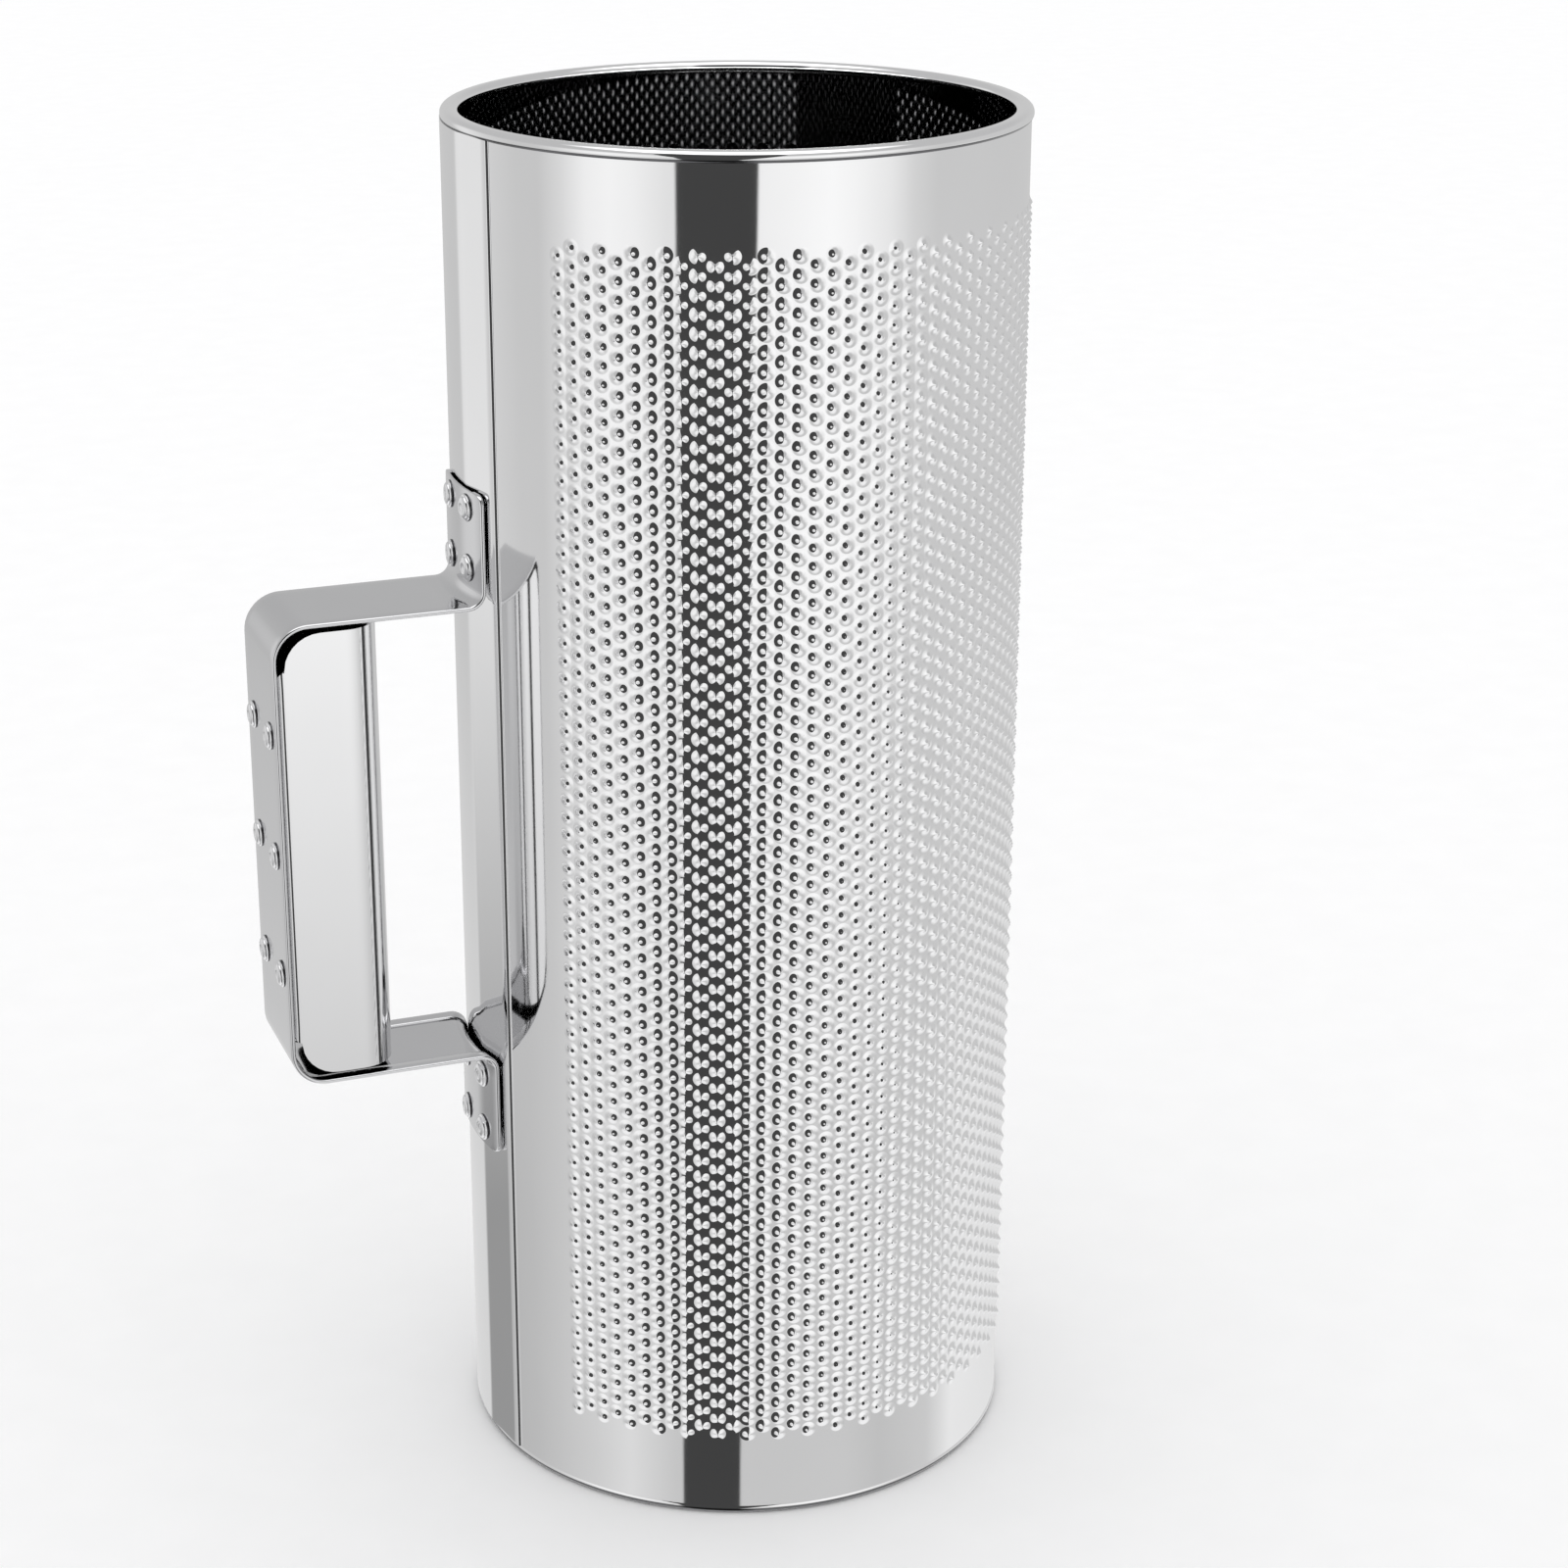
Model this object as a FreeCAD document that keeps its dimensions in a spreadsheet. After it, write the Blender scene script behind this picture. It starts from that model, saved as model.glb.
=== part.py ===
import FreeCAD, Part
import math
import os
import re

import Sketcher

# Guira: an open sheet-metal tube covered with punched bumps, worn with a riveted side handle.
# Millimetres. The tube axis is Z with the base plane at height 0, and the handle is on the -X side.

V = FreeCAD.Vector

# Driving dimensions, all in one sheet
SIZES = {
    # tube
    "tube_height": 305.0,
    "tube_radius": 62.0,
    "tube_sheet": 0.6,
    # rolled hems at both ends of the tube
    "hem_width": 4.0,
    "hem_height": 2.75,
    "hem_proud": 0.5,
    "hem_bevel": 1.0,
    # lap of the sheet under the handle, as angles from the handle
    "lap_front": 16.0,
    "lap_rear": 23.0,
    # bump field
    "plain_angle": 32.2,
    "field_base": 18.5,
    "field_margin": 17.6,
    "bump_rise": 0.95,
    "bump_foot": 0.05,
    "bump_column": 7.5,
    "bump_row": 8.6,
    # handle strap
    "strap_width": 26.5,
    "strap_sheet": 1.0,
    "strap_fold": 3.3,
    "strap_recess": 0.5,
    "strap_reach": 46.0,
    "strap_middle": 152.0,
    "strap_span": 105.0,
    "strap_corner": 8.0,
    "foot_bend": 3.0,
    "foot_span": 152.5,
    "foot_corner": 1.2,
    "foot_seat": 0.05,
    # grip sleeve
    "grip_width": 26.0,
    "grip_depth": 23.0,
    "grip_sheet": 0.6,
    "grip_seat": 0.05,
    "grip_gap_top": 1.0,
    "grip_gap_base": 1.5,
    "grip_nose": 8.0,
    "grip_edge": 1.5,
    "grip_corner": 8.0,
    "lip_width": 10.0,
    "lip_trim": 10.0,
    # rivets
    "head_sides": 12,
    "shank_sides": 8,
    "rivet_head": 3.0,
    "rivet_head_side": 2.7,
    "rivet_head_top": 1.4,
    "rivet_edge_height": 0.7,
    "rivet_height": 1.2,
    "rivet_shank": 1.6,
    "rivet_tail": 2.5,
    "rivet_tail_top": 1.2,
    "rivet_tail_height": 0.8,
    "rivet_seat": 0.06,
    "rivet_hole_gap": 0.1,
    "foot_rivet_edge": 3.9,
    "foot_rivet_pitch": 13.2,
    "foot_rivet_spacing": 12.0,
    "grip_rivet_pitch": 27.3,
    "grip_rivet_spacing": 15.0,
}

# Overlap of two forms that are fused, and reach of a cutting form past a face
OVERLAP = 0.5
PAST = 1.0
# Half angle added to the swept feet before their sides are trimmed, in degrees
SWEEP_SPARE = 2.0

doc = FreeCAD.newDocument("guira")
sheet = doc.addObject("Spreadsheet::Sheet", "Sizes")
for row, (alias, number) in enumerate(SIZES.items(), start=1):
    sheet.set("A%d" % row, alias)
    sheet.set("B%d" % row, str(number))
    sheet.setAlias("B%d" % row, alias)
doc.recompute()


def size(alias):
    """Value of one driving dimension."""
    return float(sheet.get(alias))


def bound(formula):
    """The formula with each driving dimension named as a cell of the sheet."""
    def cell(match):
        word = match.group()
        return "Sizes." + word if word in SIZES else word
    return re.sub(r"[a-z][a-z_]*", cell, formula)


def value(formula):
    """Number that a formula of driving dimensions gives."""
    result = sheet.evalExpression(bound(formula))
    return float(getattr(result, "Value", result))


def bind(thing, name, formula):
    """Drive a property by a formula of driving dimensions."""
    thing.setExpression(name, bound(formula))


def start_body(name):
    body = doc.addObject("PartDesign::Body", name)
    body.AllowCompound = True
    return body


def start_sketch(body, name, plane):
    """Sketch on one of the origin planes of its body."""
    sketch = body.newObject("Sketcher::SketchObject", name)
    base = [item for item in body.Origin.OriginFeatures if item.Role == plane][0]
    sketch.AttachmentSupport = [(base, "")]
    sketch.MapMode = "FlatFace"
    return sketch


def arc_between(start, end, radius, turn):
    """Arc from start to end, to the left with turn 1 and to the right with turn -1."""
    along = end - start
    half = along.Length / 2
    left = V(-along.y, along.x, 0).normalize()
    centre = (start + end) / 2 + left * turn * math.sqrt(max(radius**2 - half**2, 0))
    first, last = (start, end) if turn > 0 else (end, start)
    angles = [math.atan2((point - centre).y, (point - centre).x) for point in (first, last)]
    return Part.ArcOfCircle(Part.Circle(centre, V(0, 0, 1), radius), *angles)


def outline(sketch, points):
    """Closed outline of a sketch. A point is (x, y), or (x, y, radius, turn) where an arc leads on."""
    spots = [V(value(point[0]), value(point[1]), 0) for point in points]
    ends = []
    for number, point in enumerate(points):
        start, end = spots[number], spots[(number + 1) % len(points)]
        if len(point) == 2:
            index = sketch.addGeometry(Part.LineSegment(start, end))
            ends.append((index, 1, 2))
            continue
        radius, turn = value(point[2]), point[3]
        index = sketch.addGeometry(arc_between(start, end, radius, turn))
        ends.append((index, 1, 2) if turn > 0 else (index, 2, 1))
        fixed = sketch.addConstraint(Sketcher.Constraint("Radius", index, radius))
        bind(sketch, "Constraints[%d]" % fixed, point[2])
    for number, (index, first, last) in enumerate(ends):
        after = ends[(number + 1) % len(ends)]
        sketch.addConstraint(Sketcher.Constraint("Coincident", index, last, after[0], after[1]))
        for kind, part, spot in (("DistanceX", 0, spots[number].x), ("DistanceY", 1, spots[number].y)):
            fixed = sketch.addConstraint(Sketcher.Constraint(kind, -1, 1, index, first, spot))
            bind(sketch, "Constraints[%d]" % fixed, points[number][part])


def turned(body, name, sketch, angle="360"):
    """Solid turned about the Z axis."""
    feature = body.newObject("PartDesign::Revolution", name)
    feature.Profile = sketch
    feature.ReferenceAxis = (sketch, ["V_Axis"])
    feature.Midplane = angle != "360"
    bind(feature, "Angle", angle)
    body.Tip = feature
    return feature


def padded(body, name, sketch, length, middle=True):
    feature = body.newObject("PartDesign::Pad", name)
    feature.Profile = sketch
    feature.Midplane = middle
    bind(feature, "Length", length)
    body.Tip = feature
    return feature


def pocketed(body, name, sketch, length):
    feature = body.newObject("PartDesign::Pocket", name)
    feature.Profile = sketch
    feature.Midplane = True
    bind(feature, "Length", length)
    body.Tip = feature
    return feature


def fused(name, shapes):
    feature = doc.addObject("Part::MultiFuse", name)
    feature.Shapes = shapes
    return feature


def cut(name, base, tool):
    feature = doc.addObject("Part::Cut", name)
    feature.Base = base
    feature.Tool = tool
    return feature


def held_shape(name, shape):
    feature = doc.addObject("Part::Feature", name)
    feature.Shape = shape
    return feature


# Radii of the tube and of the strap feet
HEM_OUT = "(tube_radius + hem_proud)"
HEM_IN = "(tube_radius + hem_proud - hem_width)"
TUBE_IN = "(tube_radius - tube_sheet)"
FOOT_IN = "(tube_radius + tube_sheet + foot_seat)"
FOOT_OUT = "(tube_radius + tube_sheet + foot_seat + strap_sheet)"


# Tube with its two rolled hems, each a bevelled bead turned inward
def make_tube():
    body = start_body("tube")
    sketch = start_sketch(body, "tube_section", "XZ_Plane")
    upper = "hem_height - hem_bevel"
    outline(sketch, [
        (HEM_IN + " + hem_bevel", "0"),
        (HEM_OUT + " - hem_bevel", "0"),
        (HEM_OUT, "hem_bevel"),
        (HEM_OUT, upper),
        ("tube_radius", upper + " + hem_proud"),
        ("tube_radius", "tube_height - (" + upper + " + hem_proud)"),
        (HEM_OUT, "tube_height - (" + upper + ")"),
        (HEM_OUT, "tube_height - hem_bevel"),
        (HEM_OUT + " - hem_bevel", "tube_height"),
        (HEM_IN + " + hem_bevel", "tube_height"),
        (HEM_IN, "tube_height - hem_bevel"),
        (HEM_IN, "tube_height - hem_height"),
        (TUBE_IN, "tube_height - hem_height"),
        (TUBE_IN, "hem_height"),
        (HEM_IN, "hem_height"),
        (HEM_IN, "hem_bevel"),
    ])
    turned(body, "tube_turned", sketch)
    return body


# Second layer of the sheet where the tube is lapped under the handle
def make_lap():
    outer = doc.addObject("Part::Cylinder", "lap_outer")
    inner = doc.addObject("Part::Cylinder", "lap_inner")
    bind(outer, "Radius", "tube_radius + tube_sheet")
    bind(inner, "Radius", "tube_radius - tube_sheet / 2")
    for form in (outer, inner):
        bind(form, "Angle", "lap_front + lap_rear")
        bind(form, "Height", "tube_height - 2 * hem_height")
        bind(form, "Placement.Base.z", "hem_height")
        form.Placement.Rotation = FreeCAD.Rotation(V(0, 0, 1), 1)
        bind(form, "Placement.Rotation.Angle", "180 - lap_rear")
    return cut("lap", outer, inner)


# Bump field: raised points and low points alternate on a grid wrapped round the tube, so that
# the bumps stand in staggered columns and each is a low four-sided peak
def field_point(radius, angle, height):
    return V(radius * math.cos(angle), radius * math.sin(angle), height)


def field_grid():
    edge = math.pi - math.radians(size("plain_angle"))
    base = size("field_base")
    top = size("tube_height") - size("field_margin")
    columns = round(2 * edge * size("tube_radius") / size("bump_column"))
    half_rows = round(2 * (top - base) / size("bump_row"))
    # the low points stand out so far that the flats between them stay clear of the tube
    low = (size("tube_radius") + size("bump_foot")) / math.cos(edge / columns)
    high = size("tube_radius") + size("bump_rise")
    grid = []
    for column in range(columns + 1):
        angle = -edge + 2 * edge * column / columns
        line = []
        for step in range(half_rows + 1):
            inside = 0 < column < columns and 0 < step < half_rows
            raised = inside and (column + step) % 2 == 0
            height = base + (top - base) * step / half_rows
            line.append(field_point(high if raised else low, angle, height))
        grid.append(line)
    return grid, edge, base, top


def flat_face(points):
    return Part.Face(Part.makePolygon(points + points[:1]))


def field_facets(grid):
    """Two flat triangles a cell, split along the diagonal that joins its two low points."""
    facets = []
    for column in range(len(grid) - 1):
        for step in range(len(grid[0]) - 1):
            a, b = grid[column][step], grid[column + 1][step]
            c, d = grid[column + 1][step + 1], grid[column][step + 1]
            if (column + step) % 2 == 0:
                facets += [flat_face([a, b, d]), flat_face([b, c, d])]
            else:
                facets += [flat_face([a, b, c]), flat_face([a, c, d])]
    return facets


def make_field():
    grid, edge, base, top = field_grid()
    faces = field_facets(grid)
    inner = size("tube_radius") - size("tube_sheet") / 2
    for step, height in ((0, base), (-1, top)):
        line = [column[step] for column in grid]
        back = Part.Arc(field_point(inner, edge, height), field_point(inner, 0, height),
                        field_point(inner, -edge, height)).toShape()
        sides = Part.makePolygon([field_point(inner, -edge, height)] + line
                                 + [field_point(inner, edge, height)])
        faces.append(Part.Face(Part.Wire(sides.Edges + [back])))
    for line, angle in ((grid[0], -edge), (grid[-1], edge)):
        faces.append(flat_face([field_point(inner, angle, base)] + line
                               + [field_point(inner, angle, top)]))
    wall = Part.makeCylinder(inner, top - base, V(0, 0, base), V(0, 0, 1), math.degrees(2 * edge))
    wall.rotate(V(0, 0, 0), V(0, 0, 1), -math.degrees(edge))
    faces += [face for face in wall.Faces if isinstance(face.Surface, Part.Cylinder)]
    skin = Part.Compound(faces)
    skin.sewShape()
    return held_shape("bump_field", Part.Solid(skin.Shells[0]))


# Strap of the handle: a C of folded strip whose two ends turn along the tube as saddle feet
ARM = FOOT_OUT + " + foot_bend + %g" % OVERLAP
STRAP_OUT = "(tube_radius + strap_reach)"


def strap_level(side, inward):
    """Height at a distance inward from the outer face of the arm on the upper (1) or lower side (-1)."""
    return "strap_middle + %d * (strap_span / 2 - (%s))" % (side, inward)


def strap_band(sketch, outer, inner):
    """C-shaped band between two depths measured inward from the outer face of the strap."""
    reach = ["-(" + STRAP_OUT + " - (%s))" % depth for depth in (outer, inner)]
    bend_x = "-(" + STRAP_OUT + " - strap_corner)"
    bend_up, bend_down = strap_level(1, "strap_corner"), strap_level(-1, "strap_corner")
    arm = "-(" + ARM + ")"
    outline(sketch, [
        (arm, strap_level(1, outer)),
        (bend_x, strap_level(1, outer), "strap_corner - (%s)" % outer, 1),
        (reach[0], bend_up),
        (reach[0], bend_down, "strap_corner - (%s)" % outer, 1),
        (bend_x, strap_level(-1, outer)),
        (arm, strap_level(-1, outer)),
        (arm, strap_level(-1, inner)),
        (bend_x, strap_level(-1, inner), "strap_corner - (%s)" % inner, -1),
        (reach[1], bend_down),
        (reach[1], bend_up, "strap_corner - (%s)" % inner, -1),
        (bend_x, strap_level(1, inner)),
        (arm, strap_level(1, inner)),
    ])


def make_strap_bow():
    body = start_body("strap_bow")
    sketch = start_sketch(body, "bow_section", "XZ_Plane")
    strap_band(sketch, "0", "strap_sheet")
    padded(body, "bow_padded", sketch, "strap_width")
    # between the folded long edges the strap is one sheet less deep
    fold = start_sketch(body, "fold_section", "XZ_Plane")
    strap_band(fold, "strap_sheet - strap_recess", "strap_sheet + %g" % PAST)
    pocketed(body, "fold_recess", fold, "strap_width - 2 * strap_fold")
    return body


def foot_section(sketch, side):
    far = "-(hypot(" + ARM + "; strap_width / 2) + %g)" % OVERLAP
    bend_x = "-(" + FOOT_OUT + " + foot_bend)"
    end = "strap_middle + %d * foot_span / 2" % side
    outline(sketch, [
        (far, strap_level(side, "strap_sheet")),
        (bend_x, strap_level(side, "strap_sheet"), "foot_bend + strap_sheet", side),
        ("-" + FOOT_IN, strap_level(side, "-foot_bend")),
        ("-" + FOOT_IN, end),
        ("-" + FOOT_OUT, end),
        ("-" + FOOT_OUT, strap_level(side, "-foot_bend"), "foot_bend", -side),
        (bend_x, strap_level(side, "0")),
        (far, strap_level(side, "0")),
    ])


def make_strap_feet():
    body = start_body("strap_feet")
    for side, name in ((1, "upper"), (-1, "lower")):
        sketch = start_sketch(body, name + "_foot_section", "XZ_Plane")
        foot_section(sketch, side)
        turned(body, name + "_foot", sketch,
               "2 * (asin(strap_width / 2 / " + FOOT_IN + ") + %g deg)" % SWEEP_SPARE)
    return body


def make_foot_outline():
    """Block with the outline of both feet seen along X, their end corners cut off."""
    body = start_body("foot_outline")
    sketch = start_sketch(body, "foot_outline_section", "YZ_Plane")
    left, right = "-strap_width / 2", "strap_width / 2"
    low, high = "strap_middle - foot_span / 2", "strap_middle + foot_span / 2"
    outline(sketch, [
        (left + " + foot_corner", low),
        (right + " - foot_corner", low),
        (right, low + " + foot_corner"),
        (right, high + " - foot_corner"),
        (right + " - foot_corner", high),
        (left + " + foot_corner", high),
        (left, high + " - foot_corner"),
        (left, low + " + foot_corner"),
    ])
    pad = padded(body, "foot_outline_padded", sketch, STRAP_OUT, middle=False)
    pad.Reversed = True
    return body


# Grip sleeve: sheet folded to a U with a rounded nose towards the tube and two lips on the strap
LIP_X = "-(" + STRAP_OUT + " - strap_sheet - grip_seat)"
NOSE_X = "(" + LIP_X + " + grip_depth)"
GRIP_TOP = "(strap_middle + strap_span / 2 - strap_sheet - grip_gap_top)"
GRIP_LOW = "(strap_middle - strap_span / 2 + strap_sheet + grip_gap_base)"


def grip_section(sketch):
    half, lip = "grip_width / 2", "(grip_width / 2 - lip_width)"
    edge_x, nose_x = LIP_X + " + grip_edge", NOSE_X + " - grip_nose"
    edge_y, nose_y = "(grip_width / 2 - grip_edge)", "(grip_width / 2 - grip_nose)"
    wall = "(grip_width / 2 - grip_sheet)"
    lip_in, nose_in = LIP_X + " + grip_sheet", NOSE_X + " - grip_sheet"
    edge_in, round_in = "grip_edge - grip_sheet", "grip_nose - grip_sheet"
    outline(sketch, [
        (LIP_X, "-" + lip),
        (LIP_X, "-" + edge_y, "grip_edge", 1),
        (edge_x, "-" + half),
        (nose_x, "-" + half, "grip_nose", 1),
        (NOSE_X, "-" + nose_y),
        (NOSE_X, nose_y, "grip_nose", 1),
        (nose_x, half),
        (edge_x, half, "grip_edge", 1),
        (LIP_X, edge_y),
        (LIP_X, lip),
        (lip_in, lip),
        (lip_in, edge_y, edge_in, -1),
        (edge_x, wall),
        (nose_x, wall, round_in, -1),
        (nose_in, nose_y),
        (nose_in, "-" + nose_y, round_in, -1),
        (nose_x, "-" + wall),
        (edge_x, "-" + wall, edge_in, -1),
        (lip_in, "-" + edge_y),
        (lip_in, "-" + lip),
    ])


def end_trim(sketch, end, side):
    """Region that shortens the lips and rounds the strap-side corners of the panels at one end."""
    before = LIP_X + " - %g" % OVERLAP
    panel = LIP_X + " + grip_edge"
    beyond = end + " + %d * %g" % (side, PAST)
    outline(sketch, [
        (before, end + " - %d * lip_trim" % side),
        (panel, end + " - %d * lip_trim" % side),
        (panel, end + " - %d * grip_corner" % side, "grip_corner", -side),
        (panel + " + grip_corner", end),
        (panel + " + grip_corner", beyond),
        (before, beyond),
    ])


def make_grip():
    body = start_body("grip_body")
    sketch = start_sketch(body, "grip_section", "XY_Plane")
    bind(sketch, "AttachmentOffset.Base.z", GRIP_LOW)
    grip_section(sketch)
    padded(body, "grip_padded", sketch, GRIP_TOP + " - " + GRIP_LOW, middle=False)
    for end, side, name in ((GRIP_TOP, 1, "upper"), (GRIP_LOW, -1, "lower")):
        trim = start_sketch(body, name + "_trim_section", "XZ_Plane")
        end_trim(trim, end, side)
        pocketed(body, name + "_trim", trim, "grip_width + %g" % (2 * PAST))
    return body


# Rivets: low head outside, shank through the sheets, low tail inside, all with a few flat sides
FOOT_STACK = "(strap_sheet + foot_seat + 2 * tube_sheet + 2 * rivet_seat)"
GRIP_STACK = "(strap_sheet + grip_seat + grip_sheet + 2 * rivet_seat)"


def ring(radius, height, sides):
    """Corners of a regular outline round the Z axis."""
    return [field_point(radius, 2 * math.pi * corner / sides, height) for corner in range(sides)]


def faceted(sides, profile):
    """Closed solid of flat sides round the Z axis through (radius, height) points, both ends flat."""
    rings = [ring(radius, height, int(size(sides))) for radius, height in profile]
    faces = [flat_face(rings[0]), flat_face(rings[-1])]
    for low, high in zip(rings, rings[1:]):
        for corner in range(len(low)):
            after = (corner + 1) % len(low)
            faces.append(flat_face([low[corner], low[after], high[after], high[corner]]))
    skin = Part.Compound(faces)
    skin.sewShape()
    return Part.Solid(skin.Shells[0])


def make_rivet(stack):
    """One rivet along Z with the underside of its head at height 0."""
    depth = value(stack)
    head = faceted("head_sides", [
        (size("rivet_head"), 0),
        (size("rivet_head_side"), size("rivet_edge_height")),
        (size("rivet_head_top"), size("rivet_height")),
    ])
    tail = faceted("head_sides", [
        (size("rivet_tail_top"), -depth - size("rivet_tail_height")),
        (size("rivet_tail"), -depth),
    ])
    shank = faceted("shank_sides", [
        (size("rivet_shank"), -depth - size("rivet_tail_height") / 2),
        (size("rivet_shank"), size("rivet_edge_height") / 2),
    ])
    return shank.fuse([head, tail])


def foot_rivet_places():
    """Place of each foot rivet, its axis pointing away from the tube axis."""
    radius = value(FOOT_OUT) + size("rivet_seat")
    swing = size("foot_rivet_spacing") / 2 / value(FOOT_OUT)
    places = []
    for side in (1, -1):
        end = size("strap_middle") + side * size("foot_span") / 2
        for row in range(2):
            height = end - side * (size("foot_rivet_edge") + row * size("foot_rivet_pitch"))
            for turn in (-swing, swing):
                spot = field_point(radius, math.pi + turn, height)
                out = V(spot.x, spot.y, 0)
                places.append(FreeCAD.Placement(spot, FreeCAD.Rotation(V(0, 0, 1), out)))
    return places


def grip_rivet_places():
    """Place of each grip rivet, its axis pointing along -X."""
    x = -value(STRAP_OUT) - size("rivet_seat")
    turn = FreeCAD.Rotation(V(0, 0, 1), V(-1, 0, 0))
    places = []
    for row in (1, 0, -1):
        height = size("strap_middle") + row * size("grip_rivet_pitch")
        for side in (-1, 1):
            places.append(FreeCAD.Placement(V(x, side * size("grip_rivet_spacing") / 2, height), turn))
    return places


def group(name, shape, places):
    """One separate solid of the given shape at each place."""
    copies = []
    for place in places:
        copy = shape.copy()
        copy.Placement = place
        copies.append(copy)
    return held_shape(name, Part.makeCompound(copies))


def holes(name, stack, places):
    radius = size("rivet_shank") + size("rivet_hole_gap")
    pin = faceted("shank_sides", [(radius, -value(stack) - PAST), (radius, PAST)])
    return group(name, pin, places)


# Forms
tube = make_tube()
lap = make_lap()
bump_field = make_field()
strap_bow = make_strap_bow()
strap_feet = make_strap_feet()
foot_outline = make_foot_outline()
grip_body = make_grip()
doc.recompute()

# Rivets and their holes
foot_rivets = group("foot_rivets", make_rivet(FOOT_STACK), foot_rivet_places())
grip_rivets = group("grip_rivets", make_rivet(GRIP_STACK), grip_rivet_places())
foot_holes = holes("foot_holes", FOOT_STACK, foot_rivet_places())
grip_holes = holes("grip_holes", GRIP_STACK, grip_rivet_places())

# Finished nodes
shell = fused("shell", [cut("lapped_tube", fused("plain_tube", [tube, lap]), foot_holes), bump_field])
saddle_feet = doc.addObject("Part::Common", "saddle_feet")
saddle_feet.Base = strap_feet
saddle_feet.Tool = foot_outline
strap_blank = fused("strap_blank", [strap_bow, saddle_feet])
handle_strap = cut("handle_strap", cut("strap_on_tube", strap_blank, foot_holes), grip_holes)
grip = cut("grip", grip_body, grip_holes)
doc.recompute()

for item in doc.Objects:
    if "Invalid" in item.State or "Error" in item.State:
        raise RuntimeError("%s did not build: %s" % (item.Name, item.State))

os.makedirs("parts", exist_ok=True)
for node in (shell, handle_strap, grip, foot_rivets, grip_rivets):
    node.Label = node.Name
    if node.Shape.isNull() or not node.Shape.isValid():
        raise RuntimeError("%s has no valid shape" % node.Name)
    node.Shape.exportStep("parts/%s.step" % node.Name)
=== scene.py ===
import math

import bpy
import numpy as np
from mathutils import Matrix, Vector


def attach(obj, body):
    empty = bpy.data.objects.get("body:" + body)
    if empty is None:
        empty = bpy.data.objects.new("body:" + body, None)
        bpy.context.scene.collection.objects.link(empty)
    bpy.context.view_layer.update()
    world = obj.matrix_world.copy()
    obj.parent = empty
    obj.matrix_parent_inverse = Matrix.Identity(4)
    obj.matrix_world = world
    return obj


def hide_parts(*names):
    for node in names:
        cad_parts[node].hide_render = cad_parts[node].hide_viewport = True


# Guira standing on a pale floor. Sizes below are millimetres, the scene is metres.
# Angles of the tube are counted from +X, so that the handle is at 180 degrees.

MM = 0.001
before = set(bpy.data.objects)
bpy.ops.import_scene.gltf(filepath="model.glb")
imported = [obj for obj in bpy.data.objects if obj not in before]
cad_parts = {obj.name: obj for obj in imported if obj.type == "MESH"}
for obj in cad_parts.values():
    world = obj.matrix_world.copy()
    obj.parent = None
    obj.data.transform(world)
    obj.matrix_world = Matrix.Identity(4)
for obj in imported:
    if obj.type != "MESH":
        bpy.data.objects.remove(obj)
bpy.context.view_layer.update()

TUBE_HEIGHT = 305.0
TUBE_RADIUS = 62.0
SHEET = 0.6
HEM_OUT = 62.5
HEM_WIDTH = 4.0
HEM_HEIGHT = 2.75


# Mesh helpers

def full_turn(steps):
    """Angles of even steps all the way round."""
    return 2 * math.pi * np.arange(steps) / steps


def eased(share):
    """Share from 0 to 1 with a soft start and a soft end."""
    return share * share * (3 - 2 * share)


def grid_faces(index, close_u=False, close_v=False, flip=False):
    """Quads of a table of point numbers, closed along either direction or turned over where asked."""
    if close_u:
        index = np.vstack([index, index[:1]])
    if close_v:
        index = np.hstack([index, index[:, :1]])
    a, b = index[:-1, :-1], index[1:, :-1]
    c, d = index[1:, 1:], index[:-1, 1:]
    quads = np.stack([a, b, c, d], axis=-1).reshape(-1, 4)
    return quads[:, ::-1] if flip else quads


def new_mesh(name, points, faces, normals=None, sharp=None):
    """Mesh from points in millimetres and a list of face tables, creased at angles of sharp degrees."""
    mesh = bpy.data.meshes.new(name)
    mesh.vertices.add(len(points))
    mesh.vertices.foreach_set("co", (np.asarray(points, float) * MM).ravel())
    corners = np.concatenate([np.asarray(table).ravel() for table in faces])
    sizes = np.concatenate([np.full(len(table), np.asarray(table).shape[1]) for table in faces])
    mesh.loops.add(len(corners))
    mesh.loops.foreach_set("vertex_index", corners.astype(np.int32))
    mesh.polygons.add(len(sizes))
    starts = np.concatenate([[0], np.cumsum(sizes)[:-1]])
    mesh.polygons.foreach_set("loop_start", starts.astype(np.int32))
    mesh.update(calc_edges=True)
    mesh.validate()
    mesh.polygons.foreach_set("use_smooth", np.ones(len(mesh.polygons), bool))
    if sharp is not None:
        mesh.set_sharp_from_angle(angle=math.radians(sharp))
    if normals is not None:
        mesh.normals_split_custom_set_from_vertices(np.asarray(normals, float).tolist())
    return mesh


def new_object(name, data):
    thing = bpy.data.objects.new(name, data)
    bpy.context.scene.collection.objects.link(thing)
    return thing


def new_piece(name, mesh, material, nodes=()):
    """Piece of the guira on its one body and in place of the nodes named."""
    piece = new_object(name, mesh)
    mesh.materials.append(material)
    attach(piece, "root")
    if nodes:
        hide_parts(*nodes)


def add_material(mesh, material, where):
    """Second material for the faces that the table marks."""
    mesh.materials.append(material)
    mesh.polygons.foreach_set("material_index", where.astype(np.int32))


# Tube sheet with its punched bumps

COLUMNS = 94
FIELD_HALF = math.radians(147.35)
COLUMN_ANGLE = 2 * FIELD_HALF / COLUMNS
LOWEST_BUMP = 20.6
HALF_STEP = 1.926
HALF_ROWS = 137
SHEET_END = 1.4
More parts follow.
